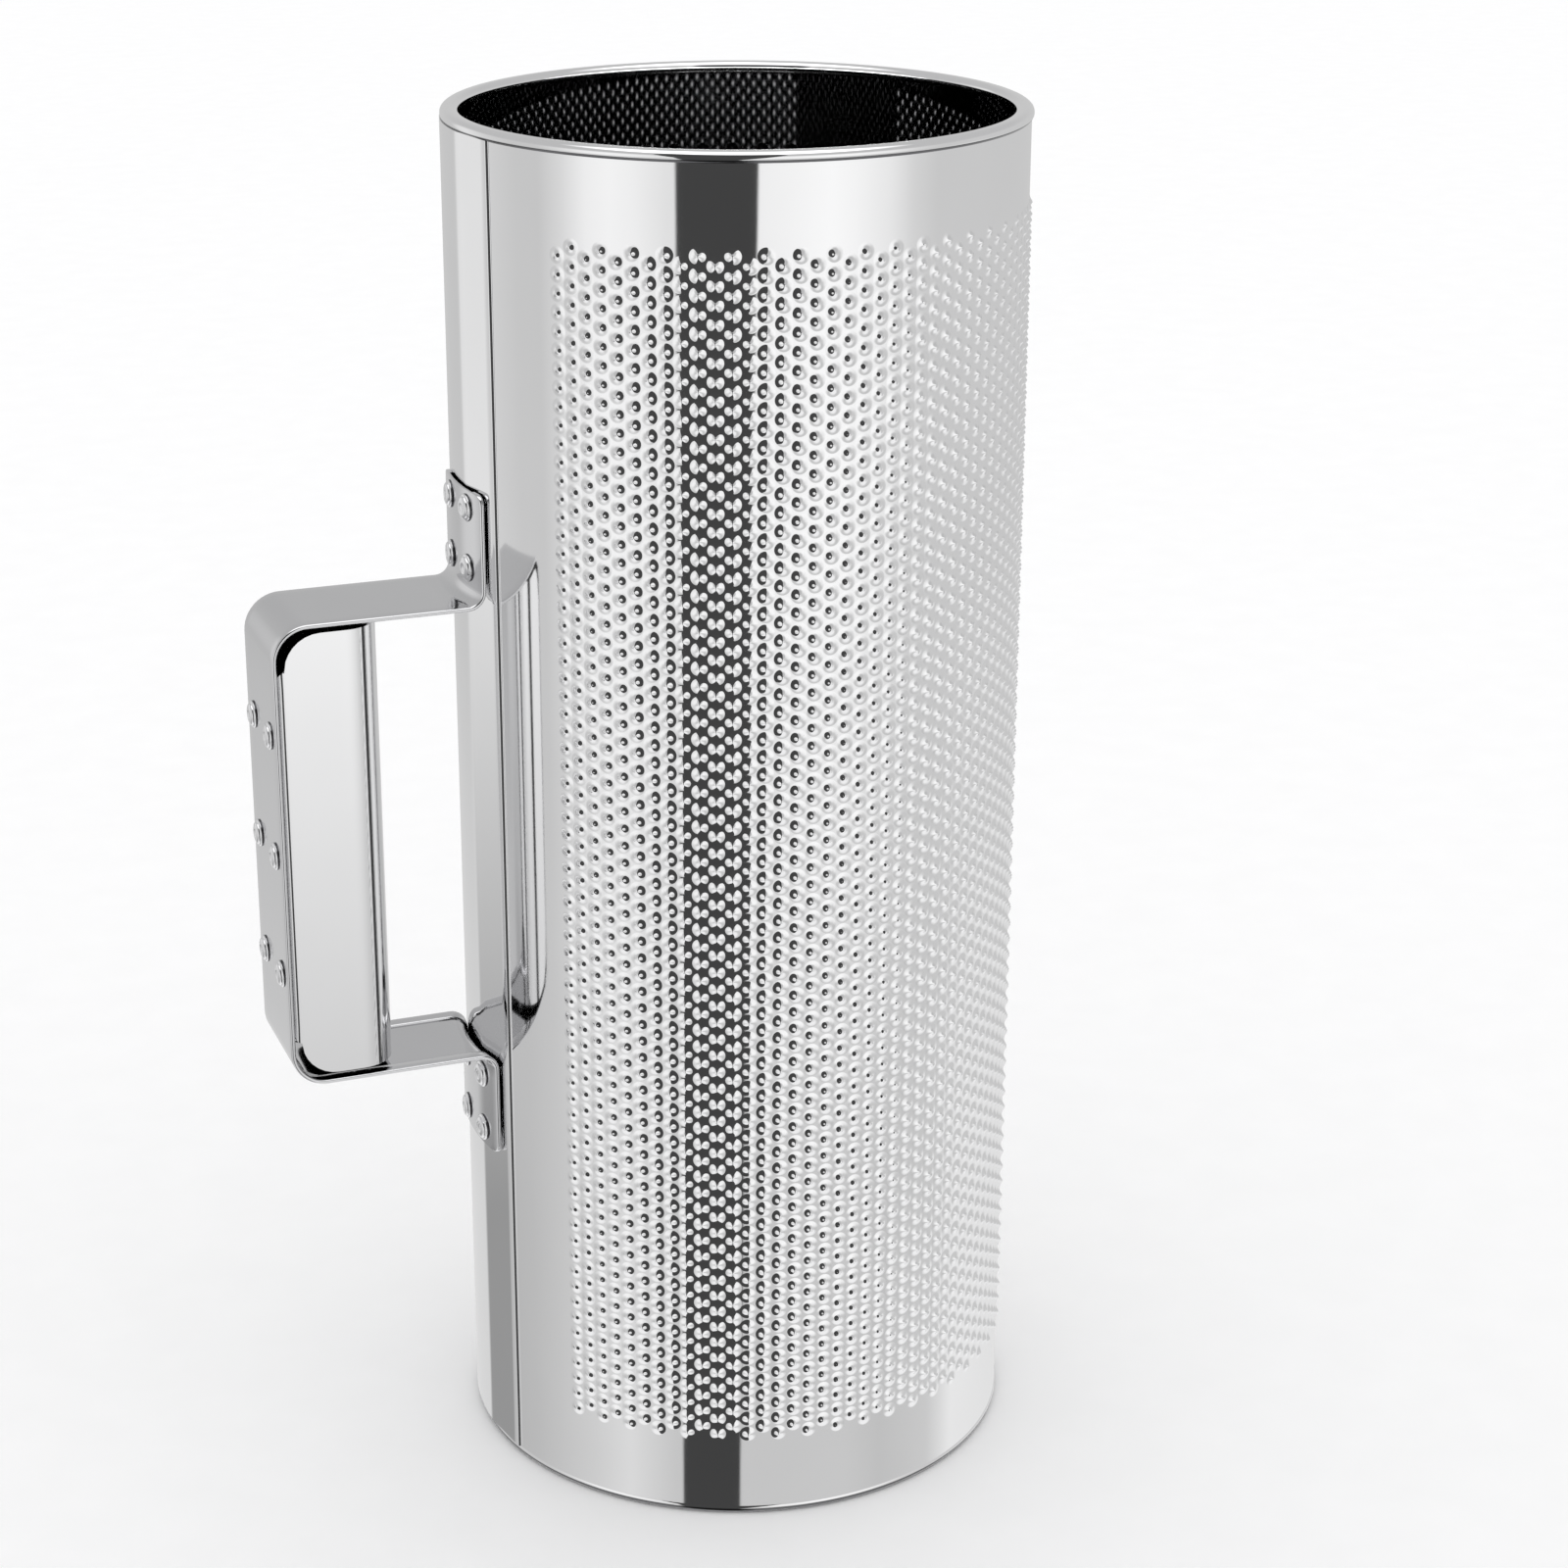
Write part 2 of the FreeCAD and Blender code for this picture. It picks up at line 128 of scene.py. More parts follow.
# Steps of the mesh: in each column, in the plain strip behind the handle and in each plain band
HALVES = 2
PLAIN_STEPS = 26
BAND_STEPS = 5
# The field is divided into closed sectors, and the plain strip is one more
SECTORS = 5

# A bump is a small blunt tip on a wide hollow skirt, steepest close to its middle
BUMP_REACH = 1.95
SKIRT_EDGE = 1.65
SKIRT_SLOPE = 1.45
SKIRT_FALL = 0.74
TIP_RADIUS = 0.3
TIP_POWER = 1.5
PROFILE_STEPS = 300
# Least distance from the middle of a bump that a slope is divided by
LEAST_AWAY = 0.001
# Inside the tube each bump is a slightly shallower dent. The rings are those of the mesh
DENT_SHARE = 0.9
DOME_RINGS = (1.7, 1.25, 0.85, 0.5, 0.2)
DENT_RINGS = (1.3, 0.6)
RING_POINTS = 8


def bump_profile():
    """Distances from the middle of a bump, with its slope and its height there."""
    away = np.linspace(0, BUMP_REACH, PROFILE_STEPS + 1)
    tip = 1 - np.exp(-(away / TIP_RADIUS) ** TIP_POWER)
    fade = np.clip((away - SKIRT_EDGE) / (BUMP_REACH - SKIRT_EDGE), 0, 1)
    slope = SKIRT_SLOPE * tip * np.exp(-away / SKIRT_FALL) * (1 - eased(fade))
    steps = (slope[1:] + slope[:-1]) / 2 * np.diff(away)
    return away, slope, np.concatenate([np.cumsum(steps[::-1])[::-1], [0]])


BUMP_AWAY, BUMP_SLOPE, BUMP_RISE = bump_profile()


# Materials

RAMP_STOPS = 31
CLOUD_SCALE = 28.0
LINE_SCALE = 900.0
LINE_STRENGTH = 0.02
LINE_DEPTH = 0.00005
DULL_SHARE = 0.965
# Rubbed lines run along the direction in which the noise is stretched
ALONG_TUBE = (1.0, 1.0, 0.08)
ALONG_GRIP = (1.0, 1.0, 0.1)
ALONG_STRAP = (1.0, 0.1, 1.0)


class Nodes:
    """Short way to add and join the nodes of one material or world."""

    def __init__(self, tree):
        self.tree = tree
        tree.nodes.clear()

    def add(self, kind, inputs=None, **settings):
        """Node whose inputs take values or the outputs of other nodes."""
        node = self.tree.nodes.new(kind)
        for name, setting in settings.items():
            setattr(node, name, setting)
        for name, source in (inputs or {}).items():
            socket = node.inputs[name]
            if isinstance(source, bpy.types.NodeSocket):
                self.tree.links.new(source, socket)
            else:
                socket.default_value = source
        return node

    def maths(self, operation, *values):
        return self.add("ShaderNodeMath", dict(enumerate(values)), operation=operation).outputs[0]

    def ramp(self, source, stops, color=False):
        """Shades, or colours, that follow the source from stop to stop."""
        node = self.add("ShaderNodeValToRGB", {"Fac": source})
        elements = node.color_ramp.elements
        while len(elements) < len(stops):
            elements.new(0.5)
        for element, (place, shade) in zip(elements, stops):
            element.position = place
            element.color = (*shade, 1) if color else (shade, shade, shade, 1)
        return node.outputs["Color"]


def new_material(name):
    """Material with an empty set of nodes."""
    material = bpy.data.materials.new(name)
    material.use_nodes = True
    return material, Nodes(material.node_tree)


def punched_normal(nodes, side, share):
    """Normal of the punched sheet from the place on it, side 1 for its outside and -1 for its inside.

    It follows the same profile as the mesh, over the column of the place and those on either side.
    """
    maths = nodes.maths
    place = nodes.add("ShaderNodeTexCoord").outputs["Object"]
    x, y, z = nodes.add("ShaderNodeSeparateXYZ", {"Vector": place}).outputs
    radius = maths("SQRT", maths("ADD", maths("MULTIPLY", x, x), maths("MULTIPLY", y, y)))
    cosine, sine = maths("DIVIDE", x, radius), maths("DIVIDE", y, radius)
    column_place = maths("DIVIDE", maths("ADD", maths("ARCTAN2", y, x), FIELD_HALF), COLUMN_ANGLE)
    row_place = maths("DIVIDE", maths("SUBTRACT", z, LOWEST_BUMP * MM), 2 * HALF_STEP * MM)
    stops = np.linspace(0, BUMP_REACH, RAMP_STOPS)
    stops = list(zip(stops / BUMP_REACH, np.interp(stops, BUMP_AWAY, BUMP_SLOPE) * share))
    lean_round, lean_up = 0.0, 0.0
    for beside in (-1.0, 0.0, 1.0):
        column = maths("ADD", maths("FLOOR", column_place), beside)
        there = maths("MULTIPLY", maths("GREATER_THAN", column, -0.5),
                      maths("LESS_THAN", column, COLUMNS - 0.5))
        own_place = maths("SUBTRACT", row_place, maths("MULTIPLY", maths("MODULO", column, 2.0), 0.5))
        row = maths("MINIMUM", maths("MAXIMUM", maths("ROUND", own_place), 0.0), float(HALF_ROWS // 2))
        up = maths("MULTIPLY", maths("SUBTRACT", own_place, row), 2 * HALF_STEP)
        across = maths("SUBTRACT", column_place, maths("ADD", column, 0.5))
        across = maths("MULTIPLY", across, COLUMN_ANGLE * TUBE_RADIUS)
        away = maths("SQRT", maths("ADD", maths("MULTIPLY", across, across), maths("MULTIPLY", up, up)))
        slope = nodes.ramp(maths("DIVIDE", away, BUMP_REACH), stops)
        steep = maths("DIVIDE", maths("MULTIPLY", slope, there), maths("MAXIMUM", away, LEAST_AWAY))
        lean_round = maths("ADD", lean_round, maths("MULTIPLY", steep, across))
        lean_up = maths("ADD", lean_up, maths("MULTIPLY", steep, up))
    lean_x = maths("SUBTRACT", cosine, maths("MULTIPLY", lean_round, sine))
    lean_y = maths("ADD", sine, maths("MULTIPLY", lean_round, cosine))
    lean = nodes.add("ShaderNodeCombineXYZ", {"X": lean_x, "Y": lean_y, "Z": lean_up}).outputs[0]
    facing = nodes.add("ShaderNodeVectorMath", {0: lean, "Scale": float(side)}, operation="SCALE").outputs[0]
    world = nodes.add("ShaderNodeVectorTransform", {"Vector": facing}, vector_type="NORMAL",
                      convert_from="OBJECT", convert_to="WORLD").outputs[0]
    return nodes.add("ShaderNodeVectorMath", {0: world}, operation="NORMALIZE").outputs[0]


def steel(name, shade, rough, grain=(1.0, 1.0, 1.0), wear=0.35, side=0):
    """Polished stainless steel: clouded polish, fine rubbed lines and a few soft smudges."""
    material, nodes = new_material(name)
    place = nodes.add("ShaderNodeTexCoord").outputs["Object"]
    clouds = nodes.add("ShaderNodeTexNoise", {"Vector": place, "Scale": CLOUD_SCALE, "Detail": 3.0,
                                              "Roughness": 0.55}).outputs["Fac"]
    stretched = nodes.add("ShaderNodeMapping", {"Vector": place, "Scale": grain}).outputs["Vector"]
    lines = nodes.add("ShaderNodeTexNoise", {"Vector": stretched, "Scale": LINE_SCALE, "Detail": 4.0,
                                             "Roughness": 0.7}).outputs["Fac"]
    polish = nodes.ramp(clouds, [(0.3, rough * 0.7), (0.62, rough), (0.8, rough * (1 + wear * 2))])
    rubbed = nodes.maths("MULTIPLY", lines, rough * wear)
    total = nodes.maths("ADD", polish, rubbed)
    dull = [part * DULL_SHARE for part in shade]
    tint = nodes.ramp(clouds, [(0.25, dull), (0.75, shade)], color=True)
    scratched = {"Strength": LINE_STRENGTH, "Distance": LINE_DEPTH, "Height": lines}
    if side:
        scratched["Normal"] = punched_normal(nodes, side, 1.0 if side > 0 else DENT_SHARE)
    normal = nodes.add("ShaderNodeBump", scratched).outputs["Normal"]
    shader = nodes.add("ShaderNodeBsdfPrincipled", {"Base Color": tint, "Roughness": total,
                                                    "Normal": normal, "Metallic": 1.0})
    nodes.add("ShaderNodeOutputMaterial", {"Surface": shader.outputs[0]})
    return material


POLISHED = (0.90, 0.90, 0.905)
TUBE_STEEL = steel("tube_steel", POLISHED, 0.05, grain=ALONG_TUBE, side=1)
PLAIN_STEEL = steel("plain_steel", POLISHED, 0.05, grain=ALONG_TUBE)
STRAP_STEEL = steel("strap_steel", (0.70, 0.70, 0.71), 0.08, grain=ALONG_STRAP, wear=0.5)
GRIP_STEEL = steel("grip_steel", (0.88, 0.88, 0.885), 0.07, grain=ALONG_GRIP, wear=0.45)
RIVET_STEEL = steel("rivet_steel", (0.86, 0.86, 0.87), 0.12, wear=0.6)
# Painted shade: darker steel as stand-ins for steel that mirrors only unlit metal, inside the tube and in
# narrow seams
INSIDE_PAINTED_SHADE_STEEL = steel("inside_painted_shade_steel", (0.20, 0.20, 0.203), 0.03, grain=ALONG_TUBE, side=-1)
# Painted shade for the seam under the top bead, the underside of the base bead and the seam round each rivet
# head
SEAM_PAINTED_SHADE_STEEL = steel("seam_painted_shade_steel", (0.13, 0.13, 0.135), 0.12)


# Mesh of the tube sheet

# Where each of the eight edge points of a bump's cell lies, in half columns and half rows
CELL_EDGE = ((2, 1), (2, 2), (1, 2), (0, 2), (0, 1), (0, 0), (1, 0), (2, 0))


def levels():
    """Heights of the mesh rows: the base band, every half row of the field, the top band."""
    field = LOWEST_BUMP + HALF_STEP * np.arange(-1, HALF_ROWS + 2)
    base = np.linspace(SHEET_END, field[0], BAND_STEPS + 1)[:-1]
    top = np.linspace(field[-1], TUBE_HEIGHT - SHEET_END, BAND_STEPS + 1)[1:]
    return np.concatenate([base, field, top])


LEVELS = levels()
FIELD_UNITS = COLUMNS * HALVES
UNITS = FIELD_UNITS + PLAIN_STEPS


def unit_angle(unit):
    """Angle round the tube of a half column, which the plain part divides more coarsely."""
    unit = np.asarray(unit, float)
    field = -FIELD_HALF + 2 * FIELD_HALF * unit / FIELD_UNITS
    plain = FIELD_HALF + (2 * math.pi - 2 * FIELD_HALF) * (unit - FIELD_UNITS) / PLAIN_STEPS
    return np.where(unit <= FIELD_UNITS, field, plain)


# Each wave of the sheet: times round the tube, height for one radian of twist, phase and size
WAVES = ((3, 61.0, 0.0, 1.0), (5, -83.0, 1.3, 1.0), (2, 140.0, 0.4, 1.4))
WAVE_DEPTH = 0.035
WAVE_FADE = 12.0


def sheet_wave(angle, height):
    """Slight unevenness of the sheet, inward only, which fades out at both ends."""
    wave = sum(size * np.sin(times * angle + height / twist + phase) for times, twist, phase, size in WAVES)
    most = sum(size for *_, size in WAVES)
    fade = np.clip(np.minimum(height, TUBE_HEIGHT - height) / WAVE_FADE, 0, 1)
    return -WAVE_DEPTH * (most - wave) / most * fade


def wrapped(angle, height, rise):
    """Points that stand out by the rise from the wall of the tube."""
    angle, height, rise = np.broadcast_arrays(angle, height, rise)
    radius = TUBE_RADIUS + rise + sheet_wave(angle, height)
    return np.stack([radius * np.cos(angle), radius * np.sin(angle), height], axis=-1)


def bump_table():
    """Of every column and half row: whether a bump is there."""
    column, step = np.mgrid[0:COLUMNS, 0:HALF_ROWS + 1]
    return (column + step) % 2 == 0


BUMP_THERE = bump_table()


def relief(angle, height):
    """Rise of the punched sheet and its slope along the circumference and the height."""
    rise, slope_round, slope_up = (np.zeros(np.shape(angle)) for _ in range(3))
    column_place = (angle + FIELD_HALF) / COLUMN_ANGLE - 0.5
    step_place = (height - LOWEST_BUMP) / HALF_STEP
    for column_step in (-1, 0, 1, 2):
        column = np.floor(column_place).astype(int) + column_step
        odd = column % 2
        below = odd + 2 * np.floor((step_place - odd) / 2).astype(int)
        for step in (below, below + 2):
            near = (column >= 0) & (column < COLUMNS) & (step >= 0) & (step <= HALF_ROWS)
            bump_column, bump_step = np.where(near, column, 0), np.where(near, step, 0)
            near &= BUMP_THERE[bump_column, bump_step]
            across = (column_place - bump_column) * COLUMN_ANGLE * TUBE_RADIUS
            up = (step_place - bump_step) * HALF_STEP
            away = np.hypot(across, up)
            steep = near * np.interp(away, BUMP_AWAY, BUMP_SLOPE) / np.maximum(away, LEAST_AWAY)
            rise += near * np.interp(away, BUMP_AWAY, BUMP_RISE)
            slope_round -= across * steep
            slope_up -= up * steep
    return rise, slope_round, slope_up


def punched(angle, height, depth, share):
    """Points of one side of the punched sheet and their outward normals."""
    rise, slope_round, slope_up = relief(angle, height)
    points = wrapped(angle, height, share * rise - depth)
    cosine, sine = np.cos(angle), np.sin(angle)
    normals = np.stack([cosine + share * slope_round * sine, sine - share * slope_round * cosine,
                        -share * slope_up], axis=-1)
    return points, normals / np.linalg.norm(normals, axis=-1, keepdims=True)


def lattice():
    """Table of the sheet's points outside the bumps, -1 where there is none, and those used."""
    table = np.full((UNITS, len(LEVELS)), -1)
    first, last = BAND_STEPS, BAND_STEPS + HALF_ROWS + 2
    table[FIELD_UNITS:, :] = 0
    table[:FIELD_UNITS, :first + 1] = 0
    table[:FIELD_UNITS, last:] = 0
    table[0:FIELD_UNITS:HALVES, :] = 0
    for column in range(COLUMNS):
        table[column * HALVES:(column + 1) * HALVES, first + column % 2:last:2] = 0
    used = np.argwhere(table == 0)
    table[used[:, 0], used[:, 1]] = np.arange(len(used))
    return np.vstack([table, table[:1]]), used


def flat_quads(table):
    """Quads of the sheet outside the bumps, with the half column of each."""
    first, last = BAND_STEPS, BAND_STEPS + HALF_ROWS + 2
    bands = [*range(first), *range(last, len(LEVELS) - 1)]
    cells = [(unit, row) for unit in range(FIELD_UNITS) for row in bands]
    cells += [(unit, row) for unit in range(FIELD_UNITS, UNITS) for row in range(len(LEVELS) - 1)]
    for column in range(COLUMNS):
        # A column that starts half a row up leaves a strip below it, any other one a strip above it
        row = first if column % 2 else last - 1
        cells += [(unit, row) for unit in range(column * HALVES, (column + 1) * HALVES)]
    unit, row = np.array(cells).T
    after, above = unit + 1, row + 1
    quads = np.stack([table[unit, row], table[after, row], table[after, above], table[unit, above]], axis=-1)
    return quads, unit


def sheet_side(rings, depth, share, outward):
    """One side of the sheet: points, normals, faces with the half column of each, and its table."""
    table, used = lattice()
    angles, heights = [unit_angle(used[:, 0])], [LEVELS[used[:, 1]]]
    column, step = np.argwhere(BUMP_THERE).T
    middle = (column + 0.5) * COLUMN_ANGLE - FIELD_HALF
    height = LOWEST_BUMP + HALF_STEP * step
    turn = full_turn(RING_POINTS)
    corner = table[column[:, None] * HALVES + [across for across, _ in CELL_EDGE],
                   BAND_STEPS + step[:, None] + [up for _, up in CELL_EDGE]]
    chain, count = [corner], len(used)
    for radius in rings:
        angles.append((middle[:, None] + radius * np.cos(turn) / TUBE_RADIUS).ravel())
        heights.append((height[:, None] + radius * np.sin(turn)).ravel())
        chain.append(count + np.arange(corner.size).reshape(corner.shape))
        count += corner.size
    angles.append(middle)
    heights.append(height)
    peak = np.repeat(count + np.arange(len(middle))[:, None], RING_POINTS, axis=1)
    triangles = [np.stack([chain[-1], np.roll(chain[-1], -1, axis=1), peak], axis=-1)]
    for ring, smaller in zip(chain, chain[1:]):
        after, smaller_after = np.roll(ring, -1, axis=1), np.roll(smaller, -1, axis=1)
        triangles.append(np.stack([ring, after, smaller_after], axis=-1))
        triangles.append(np.stack([ring, smaller_after, smaller], axis=-1))
    triangle_units = np.tile(np.repeat(column * HALVES, RING_POINTS), len(triangles))
    triangles = np.concatenate([part.reshape(-1, 3) for part in triangles])
    quads, quad_units = flat_quads(table)
    points, normals = punched(np.concatenate(angles), np.concatenate(heights), depth, share)
    if not outward:
        triangles, quads, normals = triangles[:, ::-1], quads[:, ::-1], -normals
    return points, normals, ((triangles, triangle_units), (quads, quad_units)), table


def make_sheet():
    """The sheet as closed sectors that meet edge to edge, with one set of normals for all."""
    outer = sheet_side(DOME_RINGS, 0.0, 1.0, True)
    inner = sheet_side(DENT_RINGS, SHEET, DENT_SHARE, False)
    shift = len(outer[0])
    points = np.concatenate([outer[0], inner[0]])
    normals = np.concatenate([outer[1], inner[1]])
    bounds = [round(COLUMNS * step / SECTORS) * HALVES for step in range(SECTORS + 1)] + [UNITS]
    for number, (low, high) in enumerate(zip(bounds, bounds[1:])):
        faces, inside = [], []
        for side, offset in ((outer, 0), (inner, shift)):
            for table, units in side[2]:
                kept = (units >= low) & (units < high)
                if kept.any():
                    faces.append(table[kept] + offset)
                    inside.append(np.full(kept.sum(), offset > 0))
        for unit, flip in ((low, True), (high, False)):
            wall = np.stack([outer[3][unit], inner[3][unit] + shift])
            faces.append(grid_faces(wall[:, wall[0] >= 0], flip=flip))
        for row, flip in ((0, False), (-1, True)):
            rim = np.stack([outer[3][low:high + 1, row], inner[3][low:high + 1, row] + shift])
            faces.append(grid_faces(rim, flip=flip))
        inside.append(np.zeros(sum(len(table) for table in faces) - sum(map(len, inside)), bool))
        kept = np.unique(np.concatenate([table.ravel() for table in faces]))
        renumber = np.zeros(len(points), int)
        renumber[kept] = np.arange(len(kept))
        name = "tube_sheet_%d" % (number + 1)
        mesh = new_mesh(name, points[kept], [renumber[table] for table in faces], normals[kept])
        new_piece(name, mesh, TUBE_STEEL, ("shell",))
        # The inner side gets the darker steel, painted shade for the unlit inside of the tube
        add_material(mesh, INSIDE_PAINTED_SHADE_STEEL, np.concatenate(inside))


# Turned pieces

BASE_HEM_IN = 0.35
BEAD_POWER = 2.3
BEAD_STEPS = 28
HEM_POINTS = 220
# Steps of the bead, from its outermost point, that get painted shade: those that lie in the seam under it or
# face the floor
PAINTED_SEAM_SHADE_STEPS = range(23, 27)
PAINTED_BASE_SHADE_STEPS = range(BEAD_STEPS // 2, BEAD_STEPS)


def turned(profile, steps):
    """Points and faces of a closed profile of (radius, height) turned round the tube axis."""
    angles = full_turn(steps)
    points = np.stack([profile[None, :, 0] * np.cos(angles)[:, None],
                       profile[None, :, 0] * np.sin(angles)[:, None],
                       np.broadcast_to(profile[None, :, 1], (steps, len(profile)))], axis=-1)
    index = np.arange(steps * len(profile)).reshape(steps, len(profile))
    return points.reshape(-1, 3), grid_faces(index, close_u=True, close_v=True)


def bead(radius, low):
    """Outline of a full bead as (radius, height), counterclockwise from its outermost point."""
    turn = full_turn(BEAD_STEPS)
    across = np.sign(np.cos(turn)) * np.abs(np.cos(turn)) ** (2 / BEAD_POWER)
    up = np.sign(np.sin(turn)) * np.abs(np.sin(turn)) ** (2 / BEAD_POWER)
    return np.stack([radius + HEM_WIDTH / 2 * (across - 1), low + HEM_HEIGHT / 2 * (up + 1)], axis=-1)


def make_hems():
    """Rolled bead at each end. The upper one stands further out, with painted shade in the seam under it; the
    base bead's lower half, facing the floor, gets painted shade too.
    """
    for name, radius, low, dim in (("hem_base", HEM_OUT - BASE_HEM_IN, 0.0, PAINTED_BASE_SHADE_STEPS),
                                   ("hem_top", HEM_OUT, TUBE_HEIGHT - HEM_HEIGHT, PAINTED_SEAM_SHADE_STEPS)):
        points, faces = turned(bead(radius, low), HEM_POINTS)
        mesh = new_mesh(name, points, [faces])
        new_piece(name, mesh, PLAIN_STEEL)
        # The dim steps of each bead get the darker steel as painted shade
        add_material(mesh, SEAM_PAINTED_SHADE_STEEL, np.isin(np.arange(len(faces)) % BEAD_STEPS, list(dim)))


# Outer layer of the lapped sheet

LAP_REAR = math.radians(157.0)
LAP_FRONT = math.radians(196.0)
SEAM_REAR = math.radians(183.5)
REAR_STEP = math.radians(3.0)
FRONT_STEP = math.radians(0.5)
SEAM_FRONT = LAP_FRONT - FRONT_STEP
LAP_FOOT = 0.03
LAP_TUCK = 0.6
LAP_SUNK = 0.1
# Mesh steps of the lap: over its rear edge, its round part, its flat seam and its front edge
LAP_STEPS = (7, 17, 6, 7)
LAP_ROWS = 60


def lap_rise(angle):
    """Height of the outer layer over the tube: a step at both edges and a flat seam near the front."""
    rear = np.clip((angle - LAP_REAR) / REAR_STEP, 0, 1)
    front = np.clip((LAP_FRONT - angle) / FRONT_STEP, 0, 1)
    share = np.minimum(rear, front)
    rise = LAP_FOOT + (SHEET - LAP_FOOT) * eased(share)
    middle, half = (SEAM_REAR + SEAM_FRONT) / 2, (SEAM_FRONT - SEAM_REAR) / 2
    flat = (TUBE_RADIUS + SHEET) * math.cos(half) / np.cos(angle - middle) - TUBE_RADIUS
    return np.where(np.abs(angle - middle) < half, flat, rise)


def make_lap():
    """Outer layer of the lapped sheet, with the flattened seam that runs along its front edge."""
    edges = (LAP_REAR, LAP_REAR + REAR_STEP, SEAM_REAR, SEAM_FRONT, LAP_FRONT)
    parts = [np.linspace(start, end, steps, endpoint=False)
             for start, end, steps in zip(edges, edges[1:], LAP_STEPS)]
    angles = np.concatenate([*parts, [LAP_FRONT]])
    low = HEM_HEIGHT - LAP_TUCK
    heights = np.linspace(low, TUBE_HEIGHT - low, LAP_ROWS + 1)
    outer = wrapped(angles[:, None], heights[None, :], lap_rise(angles)[:, None])
    inner = wrapped(angles[:, None], heights[None, :], -LAP_SUNK)
    rows = np.concatenate([outer, inner[::-1]])
    index = np.arange(rows.shape[0] * rows.shape[1]).reshape(rows.shape[:2])
    faces = [grid_faces(index, close_u=True)]
    count = len(angles)
    for end, flip in ((0, False), (-1, True)):
        rim = np.stack([index[:count, end], index[count:, end][::-1]])
        faces.append(grid_faces(rim, flip=flip))
    mesh = new_mesh("lap", rows.reshape(-1, 3), faces, sharp=40)
    new_piece("lap", mesh, PLAIN_STEEL)


# Handle strap

STRAP_HALF = 13.25
STRAP_THICK = 1.0
STRAP_SINGLE = 0.5
FOLD = 3.3
# The edge of the fold, rounded, as steps back from it and down from its top
FOLD_EDGE = ((0.3, 0.0), (0.05, 0.12), (0.0, STRAP_THICK - STRAP_SINGLE))
STRAP_OUT = 108.0
ARM_TOP = 204.5
ARM_BASE = 99.5
CORNER = 8.0
BEND = 3.0
FOOT_FACE = 63.65
FOOT_TOP = 228.25
FOOT_BASE = 75.75
FOOT_CORNER = 2.0
# Where the mesh crosses the rounded corners of a foot, from its end
FOOT_CUTS = (0.0, 0.12, 0.4, 0.8, 1.3, FOOT_CORNER)
# The feet follow the curve of the tube. From this distance from its axis the strap is flat
FLAT_FROM = 88.0
FLAT_FADE = 20.0
# Steps of the mesh across the outer face, and along each part of the path
FACE_STEPS = 10
FOOT_STEPS = 8
BEND_STEPS = 8
ARM_STEPS = 11
CORNER_STEPS = 12
RUN_STEPS = 13


def strap_section():
    """Section across the strip as (side, depth), folded edges round, counterclockwise."""
    half, radius = STRAP_HALF, STRAP_THICK / 2
    face = [(side, 0.0) for side in np.linspace(-half + radius, half - radius, FACE_STEPS + 1)]
    turn = [math.radians(angle) for angle in range(-75, 90, 15)]
    edge = [(half - radius + radius * math.cos(a), radius + radius * math.sin(a)) for a in turn]
    edge += [(half - radius, STRAP_THICK)]
    edge += [(half - FOLD + back, STRAP_THICK - down) for back, down in FOLD_EDGE]
    middle = [(side, STRAP_SINGLE) for side in (5.0, 0.0, -5.0)]
    return np.array(face + edge + middle + [(-side, depth) for side, depth in reversed(edge)])


def arc_path(x, z, radius, start, end, steps, depth_sign):
    """Points of an arc with the direction of depth: towards the centre (1) or away from it (-1)."""
    rows = []
    for angle in np.radians(np.linspace(start, end, steps + 1)):
        way = np.array([math.cos(angle), math.sin(angle)])
        rows.append((x + radius * way[0], z + radius * way[1], -depth_sign * way[0], -depth_sign * way[1]))
    return rows


def half_strap_path(arm, foot_end, up):
    """Outer face from the end of a foot to the middle of the grip: reach, height and depth direction."""
    rows = []
    bend_z = arm + up * BEND
    heights = [foot_end - up * cut for cut in FOOT_CUTS]
    heights += list(np.linspace(heights[-1], bend_z, FOOT_STEPS + 1)[1:-1])
    rows += [(FOOT_FACE, height, -1.0, 0.0) for height in heights]
    rows += arc_path(FOOT_FACE + BEND, bend_z, BEND, 180, 180 + up * 90, BEND_STEPS, -1)
    bend_x = STRAP_OUT - CORNER
    for reach in np.linspace(FOOT_FACE + BEND, bend_x, ARM_STEPS + 1)[1:-1]:
        rows.append((reach, arm, 0.0, -up))
    rows += arc_path(bend_x, arm - up * CORNER, CORNER, up * 90, 0, CORNER_STEPS, 1)
    return rows


